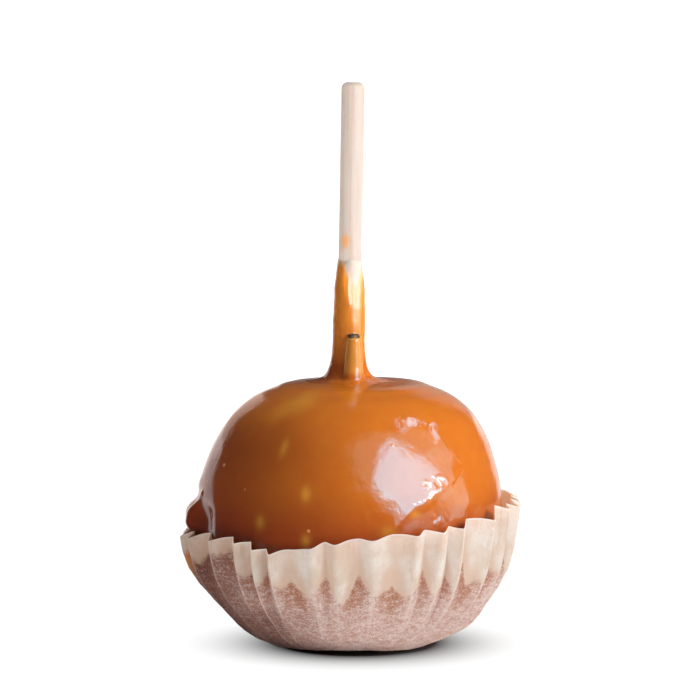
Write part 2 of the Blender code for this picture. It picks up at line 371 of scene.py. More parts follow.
def rows_of(mesh: bpy.types.Mesh) -> Array:
    """The outline row that each point was turned from."""
    return np.array([round(item.value) for item in mesh.attributes[ROW].data])


def paint(mesh: bpy.types.Mesh, **masks: Array) -> None:
    """Stores numbers for each point, which a material reads by their name."""
    for name, values in masks.items():
        mesh.attributes.new(name, "FLOAT", "POINT").data.foreach_set("value", values.astype(np.float32))


def piece_from(mesh: bpy.types.Mesh, finish: "Finish", crease: float = 60.0) -> bpy.types.Object:
    """Object at the origin that shows a mesh with smooth shading.

    Args:
        mesh: the mesh, with its place in its points.
        finish: its finish.
        crease: edges sharper than this angle in degrees stay sharp.

    Returns:
        The object, linked to the scene.
    """
    if ROW in mesh.attributes:
        mesh.attributes.remove(mesh.attributes[ROW])
    mesh.materials.append(finish.material())
    mesh.shade_smooth()
    mesh.set_sharp_from_angle(angle=math.radians(crease))
    piece = bpy.data.objects.new(mesh.name, mesh)
    bpy.context.scene.collection.objects.link(piece)
    return piece


# --- Materials ---

Colour = tuple[float, float, float]
WHITE: Colour = (1.0, 1.0, 1.0)
WARM_WHITE: Colour = (1.0, 0.99, 0.98)
MIX_FACTOR, MIX_BELOW, MIX_ABOVE, MIX_RESULT = 0, 6, 7, 2  # the colour mix node's sockets, by number


@dataclass(frozen=True)
class Field:
    """One output of a node, such as a mask or a colour. Sums and products of fields add nodes."""

    board: "NodeBoard"
    socket: bpy.types.NodeSocket

    def __add__(self, other: object) -> "Field":
        """The sum with a field or number."""
        return self.board.math("ADD", self, other)

    def __sub__(self, other: object) -> "Field":
        """What is left when a field or number is taken away."""
        return self.board.math("SUBTRACT", self, other)

    def __rsub__(self, other: float) -> "Field":
        """What the field leaves of a number."""
        return self.board.math("SUBTRACT", other, self)

    def __mul__(self, other: object) -> "Field":
        """The product with a field or number."""
        return self.board.math("MULTIPLY", self, other)

    def beside(self, name: str) -> "Field":
        """Another output of the same node."""
        return Field(self.board, self.socket.node.outputs[name])

    def between(self, low: float, high: float, start: float = 0.0, end: float = 1.0) -> "Field":
        """Number that goes smoothly from start to end while the field goes from low to high."""
        inputs = {"Value": self, "From Min": low, "From Max": high, "To Min": start, "To Max": end}
        return self.board.add("ShaderNodeMapRange", inputs, "Result", interpolation_type="SMOOTHSTEP")

    def mix(self, below: object, above: object, blend: str = "MIX") -> "Field":
        """Colour that goes from the one below to the one above while the field goes from 0 to 1."""
        inputs = {MIX_FACTOR: self, MIX_BELOW: below, MIX_ABOVE: above}
        return self.board.add("ShaderNodeMix", inputs, MIX_RESULT, data_type="RGBA", blend_type=blend)

    def along(self, stretch: float) -> "Field":
        """The coordinates with their height multiplied, so that a pattern is drawn out or squeezed."""
        return self.board.add("ShaderNodeMapping", {"Vector": self, "Scale": (1.0, 1.0, stretch)})

    def noise(self, scale: object, detail: float = 2.0, rough: float = 0.5) -> "Field":
        """Soft noise between 0 and 1 at these coordinates, its scale in swellings a metre."""
        inputs = {"Vector": self, "Scale": scale, "Detail": detail, "Roughness": rough}
        return self.board.add("ShaderNodeTexNoise", inputs, "Fac")

    def clouds(self, scale: float, contrast: float) -> "Field":
        """Mask of soft clouds at these coordinates: how many a metre and how far they part."""
        return self.board.effect("clouds", {"Vector": self, "Scale": scale, "Contrast": contrast})

    def specks(self, scale: float, size: float, share: float) -> "Field":
        """Mask of specks: cells a metre, a speck's size in cells and the share of cells with one."""
        return self.board.effect("specks", {"Vector": self, "Scale": scale, "Size": size, "Share": share})

    def bump(self, distance: float, strength: float) -> "Field":
        """Normal that the field gives as a height, times the distance in metres."""
        return self.board.add("ShaderNodeBump", {"Height": self, "Distance": distance, "Strength": strength})


class NodeBoard:
    """Adds nodes to a shader tree and links them with short calls."""

    def __init__(self, tree: bpy.types.NodeTree) -> None:
        """Keeps the tree that the nodes go in."""
        self.tree = tree

    def fill(self, node: bpy.types.Node, inputs: dict) -> None:
        """Links a node's inputs to fields, or sets them.

        Args:
            node: the node.
            inputs: fields, numbers, vectors or colours, by the input's name or number.
        """
        for name, value in inputs.items():
            socket = node.inputs[name]
            if isinstance(value, Field):
                self.tree.links.new(value.socket, socket)
            else:
                socket.default_value = (*value, 1.0) if socket.type == "RGBA" else value

    def add(self, kind: str, inputs: dict | None = None, output: int | str = 0, **settings: object) -> Field:
        """Adds a node.

        Args:
            kind: the node's type.
            inputs: what its inputs are linked or set to.
            output: the output that is wanted, by name or number.
            settings: its own settings.

        Returns:
            That output.
        """
        node = self.tree.nodes.new(kind)
        for name, value in settings.items():
            setattr(node, name, value)
        self.fill(node, inputs or {})
        return Field(self, node.outputs[output])

    def math(self, operation: str, a: object, b: object, clamp: bool = False) -> Field:
        """Result of one operation on two numbers."""
        return self.add("ShaderNodeMath", {0: a, 1: b}, operation=operation, use_clamp=clamp)

    def vectors(self, operation: str, a: object, b: object = (0, 0, 0), output: str = "Vector") -> Field:
        """Result of one operation on one or two vectors."""
        return self.add("ShaderNodeVectorMath", {0: a, 1: b}, output, operation=operation)

    def effect(self, name: str, inputs: dict) -> Field:
        """Mask that one of the shared node groups gives."""
        return self.add("ShaderNodeGroup", inputs, node_tree=bpy.data.node_groups[name])

    def painted(self, name: str) -> Field:
        """Number stored on the mesh under this name."""
        return self.add("ShaderNodeAttribute", output="Fac", attribute_name=name)

    def coordinates(self) -> Field:
        """The piece's own coordinates, in metres."""
        return self.add("ShaderNodeTexCoord", output="Object")


def new_group(name: str, numbers: tuple[str, ...]) -> tuple[NodeBoard, dict[str, Field]]:
    """Starts a shared node group that makes a mask out of coordinates and some numbers.

    Args:
        name: name of the group.
        numbers: names of the numbers.

    Returns:
        The board to build it on, and what it is given, by name.
    """
    tree = bpy.data.node_groups.new(name, "ShaderNodeTree")
    tree.interface.new_socket("Vector", in_out="INPUT", socket_type="NodeSocketVector")
    for number in numbers:
        tree.interface.new_socket(number, in_out="INPUT", socket_type="NodeSocketFloat")
    tree.interface.new_socket("Mask", in_out="OUTPUT", socket_type="NodeSocketFloat")
    board, given = NodeBoard(tree), tree.nodes.new("NodeGroupInput")
    return board, {label: Field(board, given.outputs[label]) for label in ("Vector", *numbers)}


def build_effects() -> None:
    """Builds the node groups that the finishes share: round specks strewn at random, and soft clouds."""
    board, given = new_group("specks", ("Scale", "Size", "Share"))
    cells = board.add("ShaderNodeTexVoronoi", {name: given[name] for name in ("Vector", "Scale")}, "Distance")
    chance = board.add("ShaderNodeSeparateColor", {"Color": cells.beside("Color")})
    near = board.math("SUBTRACT", 1.0, board.math("DIVIDE", cells, given["Size"]), True)
    mask = near.between(0.0, 0.6) * board.math("LESS_THAN", chance, given["Share"])
    board.fill(board.tree.nodes.new("NodeGroupOutput"), {"Mask": mask})

    board, given = new_group("clouds", ("Scale", "Contrast"))
    broad, fine = given["Vector"].noise(given["Scale"]), given["Vector"].noise(given["Scale"] * 3.7, 4.0, 0.6)
    parted = (broad * 0.65 + fine * 0.35 - 0.5) * given["Contrast"]
    board.fill(board.tree.nodes.new("NodeGroupOutput"), {"Mask": board.math("ADD", parted, 0.5, True)})


@dataclass(frozen=True)
class Finish:
    """What the finishes share: a material with one shader."""

    title = "finish"

    def dress(self, board: NodeBoard) -> dict[str, object]:
        """Makes the shader's inputs.

        Args:
            board: the board of the material's nodes.

        Returns:
            The inputs, by name.
        """
        raise NotImplementedError

    def material(self) -> bpy.types.Material:
        """Builds the material.

        Returns:
            The material.
        """
        material = bpy.data.materials.new(self.title)
        material.use_nodes = True
        board = NodeBoard(material.node_tree)
        board.fill(material.node_tree.nodes["Principled BSDF"], self.dress(board))
        return material


@dataclass(frozen=True)
class CaramelFinish(Finish):
    """Glossy caramel: translucent, cloudy, with bubbles and patches where the apple's skin shows through.
    Painted shade darkens its left side, and painted glints and a pale streak with a painted highlight lighten
    it.
    """

    title = "caramel"
    bright: Colour = (0.62, 0.183, 0.017)
    deep: Colour = (0.52, 0.125, 0.012)
    # darker, redder caramel for the left side: painted shade, partly for thicker caramel
    thick: Colour = (0.35, 0.068, 0.008)
    foot: Colour = (0.74, 0.50, 0.80)
    skin: Colour = (0.70, 0.30, 0.035)
    film: Colour = (0.95, 0.34, 0.045)
    # wood seen under thin caramel, also the colour of the painted highlight streak
    wood: Colour = (0.86, 0.55, 0.30)
    # pale stick at the streak's thin top: bare wood and painted highlight
    stick: Colour = (0.74, 0.60, 0.51)
    sheen: Colour = (0.14, 0.70, 1.0)
    bark: Colour = (0.72, 0.32, 0.055)
    # near-white painted glints on bubble rims and the lip's edge
    froth: Colour = (1.0, 0.93, 0.88)
    bubble: Colour = (0.80, 0.38, 0.11)
    speck: Colour = (0.10, 0.03, 0.01)
    foot_fade: Fade = (0.046, 0.030)
    gloss: float = 0.86
    roughness: float = 0.045
    bare_roughness: float = 0.42
    scatter: float = 0.30
    scatter_depth: float = 2.2
    ripple: float = 0.15

    def dress(self, board: NodeBoard) -> dict[str, object]:
        """The shader's inputs, from the body's colour up to what lies on it.

        Args:
            board: the board of the material's nodes.

        Returns:
            The inputs, by name.
        """
        place = board.coordinates()
        height = board.add("ShaderNodeSeparateXYZ", {"Vector": place}, "Z")
        thickness, streak = board.painted("thickness"), board.painted("streak")
        clouds = place.clouds(55.0, 1.6)
        bubbles = place.specks(190.0, 0.11, 0.16)
        specks = board.vectors("MULTIPLY", place, (1.3, 1.3, 1.3)).specks(90.0, 0.05, 0.10)
        # pale where the film thins out, and along the streak down the collar's front: bare wood partly,
        # painted highlight partly; rougher there
        bare = board.math("MAXIMUM", thickness.between(0.35, 0.02), streak)
        # darker, redder caramel on the left flank and the collar's left foot: painted shade away from the key
        # light, partly thicker caramel
        colour = board.painted("thick").mix(clouds.mix(self.deep, self.bright), self.thick)
        colour = height.between(*self.foot_fade).mix(colour, self.foot, "MULTIPLY")
        for mask, over in (
            (board.painted("skin") * clouds.between(0.1, 0.7, 0.55, 1.0), self.skin),
            (bubbles * 0.65, self.bubble),
            (specks * 0.8, self.speck),
            (board.painted("bark") * 0.85, self.bark),
            (thickness.between(1.9, 0.6) * 0.85, self.film),
            (bare, self.wood),
            # palest at the streak's thin top: bare stick and painted highlight
            (thickness.between(0.24, 0.04) * streak, self.stick),
            # painted glints, broken up by noise
            (board.painted("froth") * place.noise(1500.0).between(0.40, 0.56), self.froth),
        ):
            colour = mask.mix(colour, over)
        relief = place.noise(420.0, 4.0, 0.55) + bubbles * 0.8
        return {
            "Base Color": colour, "Roughness": clouds * 0.05 + self.roughness + bare * self.bare_roughness,
            "Normal": relief.bump(self.ripple * MM, 0.6), "IOR": 1.5,
            "Specular IOR Level": self.gloss, "Specular Tint": self.sheen,
            "Subsurface Weight": self.scatter, "Subsurface Radius": (1.0, 0.32, 0.10),
            "Subsurface Scale": self.scatter_depth * MM,
        }


@dataclass(frozen=True)
class PaperFinish(Finish):
    """Thin greaseproof paper: pale and fibrous where dry, see-through brown where the caramel wets it.
    Painted shade darkens its left side, painted highlights run along the pleats' crests, and painted warm
    light from the caramel tints the inner folds.
    """

    title = "greaseproof_paper"
    dry: Colour = (0.74, 0.66, 0.60)
    shade: Colour = (0.64, 0.485, 0.39)
    blush: Colour = (0.62, 0.43, 0.33)
    flame: Colour = (0.38, 0.155, 0.085)
    haze: Colour = (0.57, 0.375, 0.33)
    # painted shade on the case's left side: the wet paper's dark colour there, and the dims of the dry and
    # the wet paper below
    dusk: Colour = (0.16, 0.072, 0.056)
    dim: Colour = (0.66, 0.60, 0.56)
    gloom: Colour = (0.60, 0.42, 0.38)
    # pale crest colour: painted highlight along the pleats' outer crests
    crest: Colour = (0.72, 0.58, 0.52)
    fibre: Colour = (0.82, 0.71, 0.66)
    rim: Colour = (0.74, 0.65, 0.58)
    soaked: Colour = (0.55, 0.20, 0.04)
    roughness: float = 0.62
    wet_polish: float = 0.14
    relief: float = 0.10

    def dress(self, board: NodeBoard) -> dict[str, object]:
        """The shader's inputs: the dry paper, the wet paper, and the ragged edge between them.

        Args:
            board: the board of the material's nodes.

        Returns:
            The inputs, by name.
        """
        place = board.coordinates()
        stain, press, dusk = (board.painted(name) for name in ("stain", "press", "dusk"))
        grains = place.noise(2300.0, 3.0, 0.7)
        mottle = place.clouds(330.0, 2.4)
        dry = place.noise(160.0, 3.0).between(0.35, 0.7).mix(self.dry, self.shade)
        for mask, over in (
            (grains.between(0.62, 0.40, 0.0, 0.35), self.shade),
            # warmer in the inner folds and just above the stain line: painted warm light from the caramel
            # through the paper in the folds, and a faint soak near the stain
            ((stain + press * 4.0).between(-6.0, 1.0, 0.0, 0.85), self.blush),
            (place.along(0.10).noise(620.0, 3.0, 0.6).between(0.52, 0.74, 0.0, 0.7), self.blush),
            (board.painted("rim").between(0.45, 0.12), self.rim),
        ):
            dry = mask.mix(dry, over)
        # painted shade dims the dry paper on the case's left side
        dry = dusk.mix(dry, self.dim, "MULTIPLY")

        hazy = (stain + (mottle - 0.5) * 4.0 - press * 6.0).between(-4.0, 8.0)
        frost = place.along(2.2).noise(520.0, 5.0, 0.75)
        wet = (hazy * 0.9).mix(self.flame, self.haze)
        for mask, over in (
            # painted shade darkens the wet paper on the left side
            (dusk, self.dusk),
            (grains.between(0.44, 0.64) * (hazy * 0.35 - dusk * 0.25 + 0.34), self.fibre),
            (frost.between(0.51, 0.63, 0.0, 0.40), self.fibre),
            (frost.between(0.50, 0.38, 0.0, 0.45), self.flame),
        ):
            wet = mask.mix(wet, over)
        # painted shade dims the wet paper further on the left side
        wet = dusk.mix(wet, self.gloom, "MULTIPLY")
        # pale line along each pleat's outer crest on the wet paper: painted highlight
        wet = press.between(-0.74, -0.96, 0.0, 0.5).mix(wet, self.crest)
        wet = board.painted("soaked").mix(wet, self.soaked)

        wetness = (stain + (place.noise(1100.0, 4.0, 0.7) - 0.5) * 3.2).between(-0.8, 1.0)
        relief = place.along(1.6).noise(1300.0, 4.0, 0.65) + mottle * 1.5
        return {
            "Base Color": wetness.mix(dry, wet), "Roughness": self.roughness - wetness * self.wet_polish,
            "Normal": relief.bump(self.relief * MM, 0.6), "IOR": 1.45,
            "Subsurface Weight": 0.85, "Subsurface Radius": (1.0, 0.85, 0.75), "Subsurface Scale": 0.6 * MM,
        }


@dataclass(frozen=True)
class WoodFinish(Finish):
    """Pale birch dowel with fine grain along it."""

    title = "birch_wood"
    pale: Colour = (0.70, 0.618, 0.57)
    grain: Colour = (0.62, 0.49, 0.40)
    pore: Colour = (0.52, 0.35, 0.22)
    smear: Colour = (0.86, 0.42, 0.12)
    roughness: float = 0.55
    relief: float = 0.08

    def dress(self, board: NodeBoard) -> dict[str, object]:
        """The shader's inputs: bands of grain, pores, a faint blush and a smear of caramel.

        Args:
            board: the board of the material's nodes.

        Returns:
            The inputs, by name.
        """
        place = board.coordinates()
        bands = place.along(0.03).noise(900.0, 3.0, 0.6)
        pores = place.along(0.07).noise(3200.0, 2.0, 0.5)
        colour = bands.between(0.42, 0.78).mix(self.pale, self.grain)
        colour = pores.between(0.64, 0.80, 0.0, 0.55).mix(colour, self.pore)
        colour = (place.along(0.4).clouds(120.0, 2.0) * 0.25).mix(colour, self.grain)
        colour = board.painted("smear").mix(colour, self.smear)
        return {
            "Base Color": colour, "Roughness": self.roughness,
            "Normal": (bands * 0.6 - pores).bump(self.relief * MM, 0.7),
            "Subsurface Weight": 0.7, "Subsurface Radius": (1.0, 0.55, 0.3), "Subsurface Scale": 2.5 * MM,
        }


@dataclass(frozen=True)
class StalkFinish(Finish):
    """Dark, dry end of the apple's own stalk."""

    title = "stalk_bark"
    rind: Colour = (0.045, 0.026, 0.012)
    pith: Colour = (0.34, 0.20, 0.10)
    roughness: float = 0.6
    relief: float = 0.3

    def dress(self, board: NodeBoard) -> dict[str, object]:
        """The shader's inputs: dark rind with patches of pith, streaked along the stalk.

        Args:
            board: the board of the material's nodes.

        Returns:
            The inputs, by name.
        """
        place = board.coordinates()
        patches = place.clouds(900.0, 2.6)
        relief = patches + place.along(0.2).noise(2600.0, 3.0, 0.6)
        return {
            "Base Color": patches.between(0.45, 0.9, 0.0, 0.7).mix(self.rind, self.pith),
            "Roughness": self.roughness, "Normal": relief.bump(self.relief * MM, 0.8),
        }


@dataclass(frozen=True)
class TableFinish(Finish):
    """White table, which glows white to the camera from the foot outwards: a painted shadow, soft and round,
    round the foot.
    """

    title = "white_table"
    colour: Colour = (0.92, 0.92, 0.92)
    # dark colour that the camera sees under the painted shadow
    seen: Colour = (0.055, 0.053, 0.051)
    shift: Colour = (0.0020, 0.0, 0.0)
    shadow_foot: float = 0.0200
    shadow_width: float = 0.0282

    def dress(self, board: NodeBoard) -> dict[str, object]:
        """The shader's inputs: the table is darker to the camera than to the light that it throws back, and
        glows for the camera alone, more with distance from the foot, which paints the shadow.

        Args:
            board: the board of the material's nodes.

        Returns:
            The inputs, by name.
        """
        place = board.vectors("SUBTRACT", board.coordinates(), self.shift)
        away = board.vectors("LENGTH", place, output="Value")
        seen = board.add("ShaderNodeLightPath", output="Is Camera Ray")
        share = board.math("DIVIDE", away - self.shadow_foot, self.shadow_width)
        left = board.math("SUBTRACT", 1.0, share, True)
        # painted shadow: the camera sees the table glow, fading in from the foot outwards
        return {
            "Base Color": seen.mix(self.colour, self.seen), "Roughness": 0.9, "Specular IOR Level": 0.0,
            "Emission Strength": (1.0 - left * left) * seen, "Emission Color": WHITE,
        }


# --- The object ---


@dataclass(frozen=True)
class StickAxis:
    """Where the stick's axis runs: upright, with a slight lean to the right."""

    foot_x: float = -0.33
    foot_z: float = 67.0
    lean: float = 0.0175

    def x_at(self, height: Array) -> Array:
        """Sideways place of the axis at a height."""
        return self.foot_x + self.lean * (height - self.foot_z)


@dataclass
class WoodenStick:
    """Round stick of pale wood with rounded ends, pushed into the apple's core."""

    axis: StickAxis
    radius: float = 3.0
    top: float = 144.4
    length: float = 114.0
    rounding: float = 1.5
    cap_radius: float = 0.7
    steps: int = 96
    side_rows: int = 79
    corner_rows: int = 9
    wear: float = 0.035
    fray: float = 0.06
    smear: Bump = Bump(-30.0, 104.0, 1.3, 26.0, 1.7)

    def outline(self) -> Array:
        """Shapes the half section, round the stick's own middle.

        Returns:
            Rows of (radius, height) from the top's middle down the side to the bottom's middle.
        """
        half, turn = self.length / 2, np.linspace(0.0, math.pi / 2, self.corner_rows)
        rounded = self.radius - self.rounding * (1 - np.sin(turn)), half - self.rounding * (1 - np.cos(turn))
        upper = np.vstack([[(0.0, half), (self.cap_radius, half)], np.stack(rounded, axis=1)])
        heights = np.linspace(half - self.rounding, self.rounding - half, self.side_rows)[1:-1]
        side = np.stack([np.full_like(heights, self.radius), heights], axis=1)
        return np.vstack([upper, side, upper[::-1] * (1.0, -1.0)])

    def build(self, finish: "WoodFinish") -> bpy.types.Object:
        """Builds the stick.

        Args:
            finish: its finish.

        Returns:
            The stick.
        """
        mesh = turned_mesh("wooden_stick", self.outline(), self.steps)
        points, half = points_of(mesh), self.length / 2
        swell(points, grain_noise(points * (1.0, 1.0, 0.12), 1.6, 3.1) * self.wear - 0.03, (0.5, 2.5))
        frayed = grain_noise(points, 0.7, 8.4) * self.fray * ramp(points[:, 2], half - 1.6, half)
        points[:, 2] += frayed - np.abs(frayed).max() * (points[:, 2] > 0)
        middle = self.top - half
        lean = np.array(Matrix.Rotation(math.atan(self.axis.lean), 3, "Y"))
        points = points @ lean.T + (self.axis.x_at(middle), 0.0, middle)
        move_points(mesh, points)
        height = points[:, 2]
        azimuth = azimuth_of(points[:, 0] - self.axis.x_at(height), points[:, 1])
        paint(mesh, smear=np.clip(self.smear.at(azimuth, height) - 0.15, 0.0, 0.85))
        return piece_from(mesh, finish, 75.0)


@dataclass
class AppleStalk:
    """The apple's own stalk, standing in front of the stick. Its cut tip is bare."""

    axis: StickAxis
    top: float = 80.6
    length: float = 16.5
    radius: float = 1.35
    tip_radius: float = 1.7
    tip_length: float = 2.2
    from_stick: float = 5.7
    azimuth: float = 13.4
    steps: int = 48
    roughness: float = 0.1

    def outline(self) -> Array:
        """Shapes the half section.

        Returns:
            Rows of (radius, height) from the tip's middle down to the foot's middle.
        """
        tip, top, foot, neck = self.tip_radius, self.top, self.top - self.length, self.top - self.tip_length
        curve = smooth_curve((
            (0.0, top - 0.35), (tip - 1.1, top - 0.3), (tip - 0.55, top - 0.05), (tip - 0.15, top - 0.3),
            (tip, top - 1.0), (self.radius, neck), (self.radius, neck - 2.0), (self.radius, foot + 0.4),
            (self.radius - 0.4, foot), (0.0, foot),
        ), 8)
        return respaced(curve, lambda z: np.where(z > neck, 0.12, 0.6))

    def build(self, finish: "StalkFinish") -> bpy.types.Object:
        """Builds the stalk.

        Args:
            finish: its finish.

        Returns:
            The stalk.
        """
        mesh = turned_mesh("stalk", self.outline(), self.steps)
        points = points_of(mesh)
        rough = grain_noise(points, 0.55, 5.2) * 0.14 + grain_noise(points, 1.5, 1.7) * 0.12
        swell(points, rough - self.roughness, (0.1, 1.2))
        points[:, 2] -= np.abs(rough) * 1.2 * ramp(points[:, 2], self.top - 0.9, self.top)
        turn = math.radians(self.azimuth)
        points[:, 0] += self.axis.x_at(self.top - self.length / 2) + math.sin(turn) * self.from_stick
        points[:, 1] -= math.cos(turn) * self.from_stick
        move_points(mesh, points)
        return piece_from(mesh, finish)


COLLAR_OUTLINE = (
    (0.0, 98.9), (2.4, 98.95), (2.85, 99.05), (3.02, 99.0), (3.1, 98.6), (3.27, 97.9), (3.65, 94.8),
    (3.9, 91.7), (3.97, 88.6), (4.08, 85.0), (4.15, 81.6), (4.1, 79.4), (4.15, 77.0), (4.4, 74.2),
    (4.95, 71.6), (6.0, 69.5), (7.9, 68.5),
)
BODY_OUTLINE = (
    (11.0, 67.95), (15.0, 67.6), (18.4, 67.05), (20.7, 66.15), (24.2, 64.7), (27.6, 62.5), (30.6, 59.8),
    (33.0, 56.4), (35.0, 52.6), (36.7, 48.2), (38.1, 43.6), (38.85, 39.6), (39.05, 37.2), (39.2, 35.0),
    (39.3, 32.9), (39.4, 30.2), (39.2, 25.2), (38.3, 20.5), (36.5, 16.3), (34.0, 12.3), (31.0, 8.8),
    (27.6, 5.6), (24.0, 3.1), (20.3, 1.45), (17.0, 0.8), (0.0, 0.75),
)
BODY_TOP = BODY_OUTLINE[0][1]
BODY_WALL = sorted((z, r) for r, z in BODY_OUTLINE if r > 20.0)
SHAPE_MARKS = (
    Bump(-93, 33.1, 3.1, 17, 4.2, 1.8), Bump(-71.5, 31.5, -1.5, 8.0, 6.0, 1.7),
    Bump(-126, 37.5, 1.2, 14, 6.0), Bump(-168, 35.5, 1.5, 13, 5.0), Bump(128, 42.0, 1.0, 12, 7.0),
    Bump(31.0, 55.4, -0.12, 6.5, 3.1), Bump(47, 52.5, 0.12, 7, 3.4), Bump(20, 38.5, -0.2, 8, 3.6),
    Bump(24, 35.4, 0.15, 5.5, 2.3), Bump(40, 35.0, 0.10, 6, 3.0), Bump(-58, 60.8, 0.4, 13, 2.4),
    Bump(160, 55.0, -0.6, 12, 4.0),
)
SEAT_MARKS = (Bump(-92, 11.5, -1.2, 32, 6.0), Bump(88, 6.3, 2.0, 30, 4.2))
FOOT_LIFT = ((-180, 0.0), (-62, 0.0), (-40, 0.45), (-10, 0.95), (12, 0.95), (34, 0.3), (48, 0.0), (66, 0.0))


def apple_radius(height: Array) -> Array:
    """Radius of the plain turned caramel body at a height above its flat base."""
    return np.interp(height, *zip(*BODY_WALL))


def foot_lift(radius: Array, azimuth: Array, height: Array) -> Array:
    """How far the case's foot curls up off the table, with the coat on it, in millimetres."""
    return around(FOOT_LIFT, azimuth) * ramp(radius, 12.0, 19.0) * ramp(height, 6.0, 1.2)


@dataclass
class CaramelCoat:
    """The caramel: body, drips and dents, and the collar that ran up the stick and over the stalk."""

    axis: StickAxis
    stalk: AppleStalk
    stick_radius: float = 3.0
    steps: int = 400
    spacing: Pairs = (
        (23.0, 1.5), (25.0, 0.55), (32.0, 0.55), (34.0, 0.34), (49.0, 0.34), (51.0, 0.58), (66.0, 0.58),
        (67.0, 0.42),
    )
    front_pull: float = 0.4
    front_centre: float = 30.0
    front_ripple: float = 0.09
    body_shifts: Steps = ((0.2, 22.0, 40.0), (1.05, 43.0, 63.0))
    body_from: Fade = (7.6, 15.0)
    lobe_depth: float = 0.35
    lobes: int = 5
    lobe_turn: float = 40.0
    lobe_height: float = 59.0
    lobe_half_height: float = 7.0
    marks_from: Fade = (8.0, 22.0)
    fine_from: Fade = (3.4, 9.0)
    film: float = 0.05
    run_depth: float = 0.7
    run_heights: Fade = (97.0, 98.9)
    cover_top: Pairs = (
        (-150, 96.0), (-95, 100.6), (-62, 101.0), (-38, 98.8), (-12, 94.0), (10, 90.4), (32, 90.0),
        (58, 93.0), (82, 96.6), (115, 95.5), (150, 93.0),
    )
    cover_fade: float = 4.8
    cover_jag: float = 0.4
    # the pale streak down the collar's front: bare stick under thin caramel, and a painted highlight
    streak: tuple = (  # height, azimuth, half turn and how bare
        (79.5, 25.0, 6.0, 0.0), (83.3, 25.0, 10.0, 0.40), (86.7, 28.0, 18.0, 0.48), (90.0, 27.0, 25.0, 0.55),
        (93.4, 28.0, 36.0, 0.80), (96.7, 34.0, 56.0, 0.95), (99.0, 36.0, 66.0, 0.95),
    )
    stalk_coat: Pairs = ((67.0, 3.0), (72.0, 2.4), (79.0, 1.9))
    stalk_coat_blend: float = 2.2
    stalk_coat_top: Fade = (80.4, 79.3)
    bark_rise: Fade = (0.5, 2.2)
    bark_from: Fade = (69.5, 71.5)
    body_thickness: float = 5.0
    fine_marks: tuple = (
        Fold(((19.0, 36.9), (21.7, 38.4), (24.6, 40.2), (27.6, 40.6), (29.2, 41.6), (31.6, 42.3),
              (33.4, 43.0), (36.6, 43.5), (38.0, 44.6), (41.6, 45.6)), 0.07, 0.30),
        Fold(((19.0, 36.0), (21.8, 37.3), (25.2, 38.9), (28.6, 39.6), (32.6, 40.9), (36.6, 42.2),
              (41.8, 44.6)), 0.0, 0.5, 0.6, 1.2, 4.2),
        Blister(29.7, 45.3, 0.85, 0.12, 0.27, 0.08),
        Blister(36.6, 45.4, 1.6, 0.12, 0.30, 0.05, 1.35),
        Blister(33.0, 43.6, 0.55, 0.10, 0.25),
        Fold(((5.8, 39.2), (5.6, 37.6), (6.1, 36.2), (5.9, 34.4)), 0.07, 0.35),
        Fold(((-63.4, 34.6), (-64.2, 33.4), (-63.2, 32.2), (-64.0, 30.8), (-63.4, 29.6)), 0.22, 0.40),
        Fold(((-76.0, 40.0), (-80.0, 37.4), (-82.0, 34.8), (-83.0, 32.0)), 0.45, 0.9),
        Bump(-88.0, 41.6, 0.30, 6.0, 1.7),
        Fold(((40.4, 57.3), (41.8, 55.8), (43.5, 53.6)), 0.05, 0.30),
        Fold(((30.4, 50.8), (33.6, 52.2), (36.8, 53.4)), -0.05, 0.28),
    )
    ripples: tuple[Ripple, ...] = (
        Ripple(0.16, 11.0, 2.3), Ripple(0.05, 4.2, 7.7),
        Ripple(0.05, 2.2, 3.1, (Bump(32.0, 58.0, 1.0, 7.0, 3.5),)),
        Ripple(0.22, 1.25, 4.4, (Bump(34.1, 36.0, 1.0, 4.6, 2.6), Bump(33.0, 44.6, 0.6, 6.0, 1.6))),
    )
    collar_ripple: Ripple = Ripple(0.10, 2.6, 9.1)
    # lines where near-white glints are painted: bubble rims and the lip's edge
    glint_marks: tuple = (
        Blister(30.0, 45.1, 0.8, 1.0, 0.26),
        Fold(((32.0, 45.8), (31.8, 44.6), (32.6, 43.6), (34.2, 43.3), (36.0, 43.9), (36.4, 45.2),
              (35.3, 46.3)), 1.0, 0.27),
        Fold(((32.9, 47.3), (34.6, 46.6), (36.2, 46.8), (38.3, 46.1)), 1.0, 0.25),
        Fold(((32.6, 43.5), (31.2, 42.9), (30.4, 42.3)), 1.0, 0.45),
        Fold(((23.8, 40.8), (27.3, 41.4), (30.5, 41.9), (32.2, 42.8)), 0.8, 0.22),
    )
    skin_patches: tuple[Bump, ...] = (
        Bump(-34, 64.7, 0.8, 9.0, 2.2), Bump(-29.9, 54.4, 1.0, 1.7, 2.0), Bump(-16.7, 43.4, 1.0, 1.7, 1.9),
        Bump(-16, 32.0, 0.8, 1.7, 1.6), Bump(-34.9, 35.9, 0.6, 2.0, 1.8), Bump(-42, 62.0, 0.5, 6.0, 2.0),
        Bump(14, 34.0, 0.6, 3.0, 1.8), Bump(24.6, 38.3, 0.7, 2.0, 1.0), Bump(150, 48.0, 0.8, 2.0, 3.0),
        Bump(-140, 52.0, 0.8, 2.2, 2.6), Bump(110, 60.0, 0.7, 6.0, 2.2), Bump(-178, 40.0, 0.7, 2.0, 3.0),
    )
    # where darker caramel is painted on the left flank and the collar's foot: painted shade, partly thicker
    # caramel
    shaded_side: Side = Side(-78.0, 58.0, 1.0, (64.0, 52.0), 1.3)
    shaded_neck: Side = Side(-60.0, 45.0, 0.9, (81.0, 73.0))

